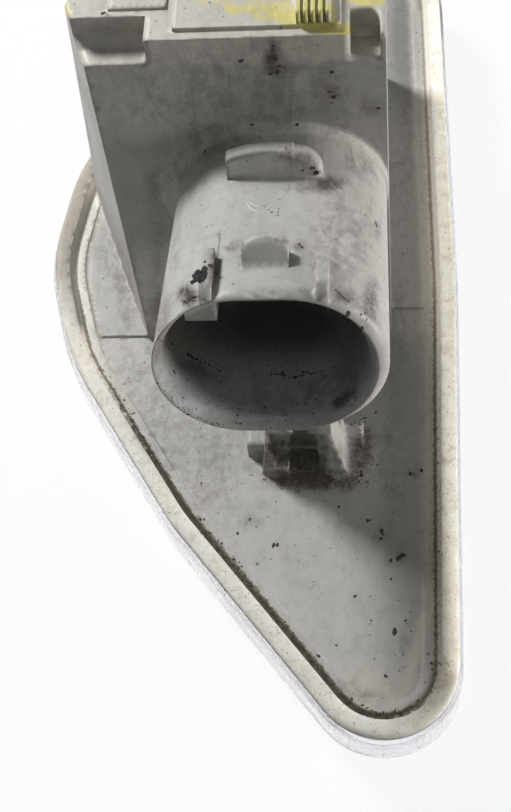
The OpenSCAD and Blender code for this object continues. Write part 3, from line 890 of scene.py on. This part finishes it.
def make_housing():
    """The divided copy that is shown in the housing's place."""
    work = divided(nodes["housing"].data, seen, FINE_EDGE, COARSE_EDGE)
    mesh = bpy.data.meshes.new("housing_look")
    work.to_mesh(mesh)
    work.free()
    paint(mesh)
    share_out(mesh)
    mesh.set_sharp_from_angle(angle=SHARP_ANGLE)
    piece = bpy.data.objects.new("housing_look", mesh)
    scene.collection.objects.link(piece)
    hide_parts("housing")
    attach(piece, "root")


make_housing()


# Loose dirt: grains and flakes that sit on the housing


def lump(work, centre, normal, size, flat, rng, stretch=1.0, turn=0.0):
    """One irregular grain, flattened along the normal."""
    side = normal.orthogonal().normalized()
    side.rotate(Matrix.Rotation(turn, 3, normal))
    across = normal.cross(side)
    grain = bmesh.ops.create_icosphere(work, subdivisions=1, radius=1.0)["verts"]
    for vertex in grain:
        rough = 1 + rng.uniform(-0.32, 0.32)
        local = vertex.co * rough * size / 2
        vertex.co = centre + side * local.x * stretch + across * local.y + normal * local.z * flat


def scatter(work, hit, normal, size, flat, rng, longest):
    """One grain of a random length, no longer than so many widths, turned at random."""
    stretch = rng.uniform(1, longest)
    lump(work, hit, normal, size, flat, rng, stretch, rng.uniform(0, 3))


def add_piece(mesh, material):
    """Adds a mesh as a piece of its own on the housing."""
    mesh.materials.append(material)
    piece = bpy.data.objects.new(mesh.name, mesh)
    scene.collection.objects.link(piece)
    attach(piece, "root")


def dirt_piece(name, work, material):
    """Adds all grains of one kind as a piece."""
    mesh = bpy.data.meshes.new(name)
    work.to_mesh(mesh)
    work.free()
    add_piece(mesh, material)


def landing(x, y):
    """Where the line of sight through a pixel meets the housing."""
    hit, normal, _, _ = HOUSING_TREE.ray_cast(EYE, sight(x, y))
    if hit is not None and normal.dot(sight(x, y)) > 0:
        normal = -normal
    return hit, normal


# each fleck: x, y, length in millimetres, length over width, turn in degrees
FLECKS = [
    (274.6, 545.8, 0.45, 1.6, 35),
    (338.8, 507, 0.3, 1.2, 0),
    (367.5, 521, 0.4, 1.2, 20),
    (383, 532, 0.35, 2.6, 70),
    (381, 538, 0.3, 1.6, 40),
    (404, 555, 0.42, 1.8, 60),
    (400, 558, 0.4, 1.6, -20),
    (396.5, 558, 0.38, 1.8, 10),
    (391, 560.5, 0.35, 1.5, 40),
    (394, 632, 0.42, 2.2, 15),
    (385.3, 677, 0.3, 1.4, 70),
    (336.9, 645, 0.2, 1.2, 0),
    (405.8, 620.4, 0.22, 1.5, 20),
    (371.6, 620.4, 0.2, 1.6, 0),
    (390.7, 579.4, 0.25, 1.4, 30),
    (355, 596, 0.25, 1.8, 0),
    (237.7, 533, 0.25, 1.4, 0),
    (201, 483.7, 0.22, 1.2, 0),
    (251, 519, 0.26, 1.5, 20),
    (411, 474, 0.45, 1.5, 10),
    (420.8, 470, 0.35, 1.6, 60),
    (362, 475, 0.4, 1.3, 0),
    (316.3, 172.3, 0.5, 1.3, 20),
    (313, 168, 0.25, 1.5, 50),
    (302, 170.4, 0.28, 1.2, 0),
    (272, 212.5, 0.2, 1.2, 0),
    (299, 244.5, 0.3, 1.6, 20),
    (302, 247, 0.28, 1.3, 60),
    (252, 124, 0.5, 1.4, 0),
    (297, 124.5, 0.36, 1.3, 0),
    (205.8, 151, 0.42, 1.2, 20),
    (103.5, 14, 0.35, 1.8, 0),
    (277, 72, 0.55, 1.3, 30),
    (280, 66, 0.35, 1.5, 60),
    (271, 74, 0.3, 1.5, 0),
    (274, 58, 0.3, 2.0, 80),
    (241, 61, 0.4, 1.4, 0),
    (333, 72, 0.4, 1.4, 30),
    (274, 46, 0.3, 1.6, 60),
    (335, 97, 0.4, 1.8, 30),
    (329, 92, 0.3, 1.4, 0),
    (378, 108, 0.3, 1.5, 0),
    (164, 345.5, 0.4, 1.3, 30),
    (174, 372.5, 0.42, 1.3, 70),
    (172, 344, 0.3, 2.0, 20),
    (362, 328.4, 0.35, 1.6, 40),
    (347, 315.5, 0.4, 1.8, 40),
    (338.4, 404.7, 0.32, 1.3, 0),
    (189.5, 355, 0.42, 1.5, 60),
    (192, 357, 0.3, 1.6, 20),
    (211, 267, 0.4, 1.8, 80),
    (212, 285.5, 0.42, 1.3, 0),
    (205, 262, 0.25, 1.2, 0),
    (376, 224, 0.3, 1.5, 80),
]

# each dashed line: from x, y to x, y, how many flecks, their length in millimetres
SCALE_LINES = [
    (187, 353, 205, 364, 8, 0.2),
    (205, 364, 223, 371, 6, 0.18),
    (196, 360, 214, 373, 7, 0.14),
    (266, 375, 283, 374, 6, 0.2),
    (283, 373, 292, 378, 5, 0.24),
    (292, 377, 306, 374, 7, 0.26),
    (306, 374, 324, 371, 7, 0.18),
    (324, 371, 342, 363, 6, 0.15),
    (338, 404, 352, 394, 8, 0.18),
    (158, 385, 172, 402, 9, 0.13),
    (172, 402, 192, 416, 9, 0.13),
    (192, 416, 222, 426, 9, 0.12),
    (250, 430, 330, 428, 16, 0.11),
    (186, 290, 196, 303, 9, 0.2),
    (181, 300, 190, 306, 8, 0.16),
    (336, 291, 352, 303, 10, 0.18),
    (340, 296, 350, 300, 8, 0.14),
    (370, 290, 375, 322, 12, 0.14),
    (362, 300, 368, 325, 8, 0.12),
    (160, 338, 168, 350, 5, 0.22),
]


FLECK_FLAT = 0.3
LOOSE_FLECKS = 170
FLECK_TONES = ((0.012, 0.011, 0.010), (0.05, 0.042, 0.035))


def make_flecks():
    """Flakes of soot: listed ones, dashed lines of them, and fine ones strewn inside the socket."""
    rng = random.Random(11)
    work = bmesh.new()
    for x, y, size, stretch, turn in FLECKS:
        hit, normal = landing(x, y)
        if hit is None:
            continue
        for _ in range(3):
            off = size * 0.22 * MM
            at = hit + Vector((rng.gauss(0, off), rng.gauss(0, off), 0))
            at -= normal * (at - hit).dot(normal)
            length = size * MM * rng.uniform(0.5, 0.9)
            lump(work, at, normal, length, FLECK_FLAT, rng, stretch, math.radians(turn))
    for x0, y0, x1, y1, count, size in SCALE_LINES:
        for step in range(count):
            share = (step + rng.uniform(-0.3, 0.3)) / count
            x = x0 + (x1 - x0) * share + rng.gauss(0, 1.0)
            y = y0 + (y1 - y0) * share + rng.gauss(0, 1.0)
            hit, normal = landing(x, y)
            if hit is not None:
                scatter(work, hit, normal, size * MM * rng.uniform(0.5, 1.2), 0.25, rng, 2.2)
    for _ in range(LOOSE_FLECKS):
        x = rng.uniform(160, 370)
        y = rng.uniform(345, 425)
        hit, normal = landing(x, y)
        if hit is not None:
            scatter(work, hit, normal, rng.uniform(0.06, 0.16) * MM, FLECK_FLAT, rng, 1.8)
    dirt_piece("flecks", work, soil_material("fleck_soot", *FLECK_TONES))


# each spot of the black lump on the left rib: x, y, size in millimetres
RESIDUE_SPOTS = [
    (203, 270, 0.6),
    (199, 273, 0.7),
    (204, 275, 0.7),
    (197, 277, 0.7),
    (201, 279, 0.7),
    (194, 281, 0.5),
]
RESIDUE_GRAINS = 7
RESIDUE_TONES = ((0.003, 0.003, 0.004), (0.012, 0.012, 0.014))


def make_residue():
    """Black lump left on the left rib."""
    rng = random.Random(4)
    work = bmesh.new()
    for x, y, size in RESIDUE_SPOTS:
        for _ in range(RESIDUE_GRAINS):
            hit, normal = landing(x + rng.gauss(0, 1.3), y + rng.gauss(0, 1.3))
            if hit is not None:
                length = size * MM * rng.uniform(0.4, 0.8)
                lump(work, hit, normal, length, 0.8, rng, 1.2, rng.uniform(0, 3))
    dirt_piece("rib_residue", work, soil_material("residue", *RESIDUE_TONES, 1800))


# filling of the groove: spacing of its sections, points of each, width and height at the rim
STATION = 0.16
FILL_POINTS = 9
FILL_SPAN = GROOVE_W + 0.2
FILL_TOP = 1.12
FILL_SUNK = 0.03
FILL_SMOOTH = 40


def edge_stations():
    """Evenly spaced points of the flange's edge, with their inward directions and shares of dirt."""
    ends = numpy.roll(OUTLINE, -1, axis=0)
    run = numpy.hypot(*(ends - OUTLINE).T)
    along = numpy.concatenate(([0.0], numpy.cumsum(run)))
    closed = numpy.vstack((OUTLINE, OUTLINE[:1]))
    places = numpy.arange(0, along[-1], STATION)
    points = numpy.column_stack([numpy.interp(places, along, closed[:, axis]) for axis in (0, 1)])
    tangent = numpy.roll(points, -3, axis=0) - numpy.roll(points, 3, axis=0)
    tangent /= numpy.hypot(tangent[:, 0], tangent[:, 1])[:, None]
    inwards = numpy.column_stack((-tangent[:, 1], tangent[:, 0]))
    full = numpy.array([heavy(*point) for point in points])
    padded = numpy.concatenate((full[-FILL_SMOOTH:], full, full[:FILL_SMOOTH]))
    window = 2 * FILL_SMOOTH + 1
    full = numpy.convolve(padded, numpy.ones(window) / window, "valid")
    return points, inwards, full


def fill_rise(across):
    """Height of the filling above the plate, as part of its height at the rim."""
    return (1 - across) ** 1.7


def make_groove_dust():
    """Dust and dirt packed between the rim and the plate."""
    rng = random.Random(3)
    points, inwards, full = edge_stations()
    vertices = []
    faces = []
    across_values = []
    full_values = []
    before = None
    for point, inward, much in zip(points, inwards, full):
        at = point + inward * (RIM_W + FILL_SPAN + 0.05)
        hit = HOUSING_TREE.ray_cast(row((at[0], at[1], 5)), DOWNWARDS)[0]
        if hit is None or hit.z / MM - SHIFT.z > RIM_H:
            before = None
            continue
        level = hit.z / MM - SHIFT.z
        first = len(vertices)
        rough = 0.03 + 0.14 * much
        for step in range(FILL_POINTS):
            across = step / (FILL_POINTS - 1)
            spot = point + inward * (RIM_W - FILL_SUNK + (FILL_SPAN + FILL_SUNK) * across)
            rise = (FILL_TOP - 0.25 * much - level) * fill_rise(across)
            z = level - FILL_SUNK + rise + rng.uniform(-rough, rough) * (0.3 < across < 0.99)
            vertices.append(row((spot[0], spot[1], z)))
            across_values.append(across)
            full_values.append(much)
        if before is not None:
            for step in range(FILL_POINTS - 1):
                faces.append((before + step, first + step, first + step + 1, before + step + 1))
        before = first
    mesh = bpy.data.meshes.new("groove_dust")
    mesh.from_pydata(vertices, [], faces)
    mesh.attributes.new("across", "FLOAT", "POINT").data.foreach_set("value", across_values)
    mesh.attributes.new("full", "FLOAT", "POINT").data.foreach_set("value", full_values)
    mesh.shade_smooth()
    add_piece(mesh, dust_material())


DUST_PALE = (0.6, 0.57, 0.5)
# olive of the groove's foot: dirt and painted shade
OLIVE_DIRT_AND_SHADE = (0.17, 0.145, 0.105)
GRIT_TONES = ((0.014, 0.012, 0.01), (0.085, 0.068, 0.048))


def dust_material():
    """Pale dust beside the rim, an olive line at its foot that is dirt and painted shade of the groove, and
    dark grit where the groove is full.
    """
    shade = Shade("groove_dust")
    across = shade.painted("across")
    full = shade.painted("full")
    gritty = shade.noise(1500, 6, 0.8)
    base = shade.mix(shade.step(across, 0.3, 0.9), CREAM, DUST_PALE)
    shaken = shade.maths("ADD", across, shade.maths("MULTIPLY", shade.maths("SUBTRACT", gritty, 0.5), 0.35))
    # olive line at the rim's foot: dirt and painted shade of the groove
    line = shade.maths("MULTIPLY", shade.step(shaken, 0.35, 0.6), shade.step(shaken, 1.02, 0.85))
    share = shade.maths("MULTIPLY", line, shade.step(full, 0.0, 0.4, 0.12, 0.9))
    colour = shade.mix(share, base, OLIVE_DIRT_AND_SHADE)
    filled = shade.step(shade.maths("ADD", gritty, shade.maths("MULTIPLY", full, 0.72)), 0.85, 1.1)
    soil = shade.mix(shade.step(gritty, 0.35, 0.65), *GRIT_TONES)
    colour = shade.mix(filled, colour, soil)
    rough = shade.step(gritty, 0.3, 0.7, 0.7, 0.92)
    bumped = shade.bump(gritty, 0.4, 0.0001)
    return shade.finish(Base_Color=colour, Roughness=rough, Normal=bumped)


# grains in a millimetre of a groove that is quite full, and how flat grains lie
GRAINS_A_MM = 46
GRAIN_FLAT = 0.6
LOOSE_GRIT_TONES = ((0.02, 0.017, 0.014), (0.15, 0.115, 0.08))


def make_grit():
    """Grains in the groove along the foot of the rim."""
    rng = random.Random(7)
    work = bmesh.new()
    ends = numpy.roll(OUTLINE, -1, axis=0)
    run = numpy.hypot(*(ends - OUTLINE).T)
    for start, end, length in zip(OUTLINE, ends, run):
        if length < 1e-6:
            continue
        along = (end - start) / length
        inwards = numpy.array((-along[1], along[0]))
        full = heavy(*start)
        for _ in range(int(length * GRAINS_A_MM * full**3)):
            gap = 0.1 + abs(rng.gauss(0, 0.4))
            spot = start + along * rng.uniform(0, length) + inwards * (RIM_W + gap)
            hit, normal, _, _ = HOUSING_TREE.ray_cast(row((spot[0], spot[1], 6)), DOWNWARDS)
            if hit is None or hit.z > row((0, 0, 1)).z:
                continue
            if normal.z < 0:
                normal = -normal
            if gap < FILL_SPAN:
                normal = -DOWNWARDS
                hit.z = row((0, 0, 0.9 * fill_rise(gap / FILL_SPAN))).z
            size = 0.06 * MM + rng.random() ** 3 * 0.26 * MM
            scatter(work, hit, normal, size, GRAIN_FLAT, rng, 1.6)
    dirt_piece("groove_grit", work, soil_material("grit", *LOOSE_GRIT_TONES, 900))


# each patch of crumbs round the clip: x, y, width, height, how many
CRUMB_PATCHES = [
    (306, 480, 40, 7, 150),
    (300, 464, 26, 10, 50),
    (362, 450, 10, 30, 120),
    (350, 482, 24, 12, 70),
]
CRUMBS_BELOW = 9
CRUMB_TONES = ((0.03, 0.026, 0.022), (0.13, 0.105, 0.08))


def make_crumbs():
    """Crumbs of dirt and torn plastic round the broken clip."""
    rng = random.Random(9)
    work = bmesh.new()
    for x, y, across, down, count in CRUMB_PATCHES:
        for _ in range(count):
            hit, normal = landing(x + rng.gauss(0, across / 2), y + rng.gauss(0, down / 2))
            if hit is not None and hit.z < row((0, 0, CRUMBS_BELOW)).z:
                scatter(work, hit, normal, rng.uniform(0.05, 0.2) * MM, GRAIN_FLAT, rng, 1.7)
    dirt_piece("clip_crumbs", work, soil_material("crumbs", *CRUMB_TONES, 1200))


# each stroke of the scratch: from x, y to x, y
SCRATCH_STROKES = [
    (246.5, 203, 251, 209),
    (251, 209, 257, 211.5),
    (249, 202.5, 258, 206.5),
]
SCRATCH_STEPS = 12
SCRATCH_WIDTH = 0.085
SCRATCH_TONES = ((0.72, 0.71, 0.68), (0.9, 0.89, 0.86))


def make_scratch():
    """Pale curl scratched into the top of the socket."""
    rng = random.Random(5)
    work = bmesh.new()
    for x0, y0, x1, y1 in SCRATCH_STROKES:
        for step in range(SCRATCH_STEPS + 1):
            share = step / SCRATCH_STEPS
            hit, normal = landing(x0 + (x1 - x0) * share, y0 + (y1 - y0) * share)
            if hit is not None:
                lump(work, hit, normal, SCRATCH_WIDTH * MM, 0.25, rng, 1.3, rng.uniform(0, 3))
    dirt_piece("scratch", work, soil_material("scratch_pale", *SCRATCH_TONES, 3000))


make_flecks()
make_scratch()
make_residue()
make_groove_dust()
make_grit()
make_crumbs()


# Studio

AMBIENT = 0.11
SKY_TINT = (0.97, 0.985, 1, 1)
LOOK_AT = Vector((0, 0, 0.02))

# strong small lamp from the left and behind, seen in the shadows
KEY_ENERGY = 0.88
KEY_SIZE = 0.065
KEY_FAR = 0.3
KEY_ELEVATION = math.radians(47.5)
KEY_COMPASS = (-0.777, 0.629)

# weak low lamp from the right
FILL_ENERGY = 3.3
FILL_SIZE = 0.16
FILL_FAR = 0.6
FILL_ELEVATION = math.radians(6)
FILL_COMPASS = (0.993, -0.12)
FILL_TINT = (1.0, 0.985, 0.96)

# narrow lamp over the right side of the rim
STRIP_ENERGY = 0.00024
STRIP_AT = (16.2, 5.0, 30.0)
STRIP_WIDE = 0.0012
STRIP_LONG = 0.085
STRIP_SPREAD = math.radians(5)
STRIP_TINT = (1.0, 0.97, 0.92)

FLOOR_HALF = 3
FLOOR_DULL = 0.35
FLOOR_PALE = 0.95
FLOOR_SHOWN = 0.9


def set_world():
    """Even dim light for the object, and plain white where the camera looks past it."""
    world = bpy.data.worlds.new("studio")
    scene.world = world
    world.use_nodes = True
    tree = world.node_tree
    background = tree.nodes["Background"]
    background.inputs["Strength"].default_value = AMBIENT
    background.inputs["Color"].default_value = SKY_TINT
    seen_as = tree.nodes.new("ShaderNodeBackground")
    seen_as.inputs["Strength"].default_value = 1
    seen_as.inputs["Color"].default_value = (1, 1, 1, 1)
    mix = tree.nodes.new("ShaderNodeMixShader")
    tree.links.new(looked_at(tree), mix.inputs[0])
    tree.links.new(background.outputs[0], mix.inputs[1])
    tree.links.new(seen_as.outputs[0], mix.inputs[2])
    tree.links.new(mix.outputs[0], tree.nodes["World Output"].inputs[0])


def looked_at(tree):
    """One for the camera's rays and for those that gloss and glass send on."""
    path = tree.nodes.new("ShaderNodeLightPath")
    value = path.outputs["Is Camera Ray"]
    for name in ("Is Glossy Ray", "Is Transmission Ray"):
        most = tree.nodes.new("ShaderNodeMath")
        most.operation = "MAXIMUM"
        tree.links.new(value, most.inputs[0])
        tree.links.new(path.outputs[name], most.inputs[1])
        value = most.outputs[0]
    return value


def add_light(name, place, target, size, energy, colour=(1, 1, 1)):
    """Square lamp that faces a target."""
    data = bpy.data.lights.new(name, "AREA")
    data.size = size
    data.energy = energy
    data.color = colour
    lamp = bpy.data.objects.new(name, data)
    scene.collection.objects.link(lamp)
    lamp.location = place
    lamp.rotation_euler = (target - place).to_track_quat("-Z", "Y").to_euler()
    return lamp


def add_strip():
    """Narrow lamp over the right side of the rim, which the photograph shows bright."""
    place = row(STRIP_AT)
    lamp = add_light("strip", place, place + DOWNWARDS, STRIP_WIDE, STRIP_ENERGY, STRIP_TINT)
    # faces straight down, with its long side along Y
    lamp.rotation_euler = (0, 0, 0)
    lamp.data.shape = "RECTANGLE"
    lamp.data.size_y = STRIP_LONG
    lamp.data.spread = STRIP_SPREAD


def add_floor():
    """Pale floor: white to the eye with the object's shadow, and duller as a source of bounced light."""
    mesh = bpy.data.meshes.new("floor")
    half = FLOOR_HALF
    corners = [(-half, -half, 0), (half, -half, 0), (half, half, 0), (-half, half, 0)]
    mesh.from_pydata(corners, [], [(0, 1, 2, 3)])
    floor = bpy.data.objects.new("floor", mesh)
    scene.collection.objects.link(floor)
    shade = Shade("floor_pale")
    shade.tree.nodes.remove(shade.shader)
    dull = shade.add("ShaderNodeBsdfDiffuse")
    shade.feed(dull.inputs["Color"], FLOOR_DULL)
    bright = shade.add("ShaderNodeBsdfDiffuse")
    shade.feed(bright.inputs["Color"], FLOOR_PALE)
    glow = shade.add("ShaderNodeEmission")
    shade.feed(glow.inputs["Color"], 1.0)
    glow.inputs["Strength"].default_value = 1
    shown = shade.add("ShaderNodeMixShader")
    shown.inputs[0].default_value = FLOOR_SHOWN
    shade.feed(shown.inputs[1], bright.outputs[0])
    shade.feed(shown.inputs[2], glow.outputs[0])
    both = shade.add("ShaderNodeMixShader")
    shade.feed(both.inputs[0], looked_at(shade.tree))
    shade.feed(both.inputs[1], dull.outputs[0])
    shade.feed(both.inputs[2], shown.outputs[0])
    shade.feed(shade.tree.nodes["Material Output"].inputs["Surface"], both.outputs[0])
    mesh.materials.append(shade.material)


def way_to(compass, elevation):
    """Direction to a lamp from its direction on the floor and its height in radians."""
    level = math.cos(elevation)
    return Vector((compass[0] * level, compass[1] * level, math.sin(elevation)))


set_world()
key_at = LOOK_AT + way_to(KEY_COMPASS, KEY_ELEVATION) * KEY_FAR
fill_at = LOOK_AT + way_to(FILL_COMPASS, FILL_ELEVATION) * FILL_FAR
add_light("key", key_at, LOOK_AT, KEY_SIZE, KEY_ENERGY)
add_light("fill", fill_at, LOOK_AT, FILL_SIZE, FILL_ENERGY, FILL_TINT)
add_strip()
add_floor()

scene.view_settings.view_transform = "Standard"
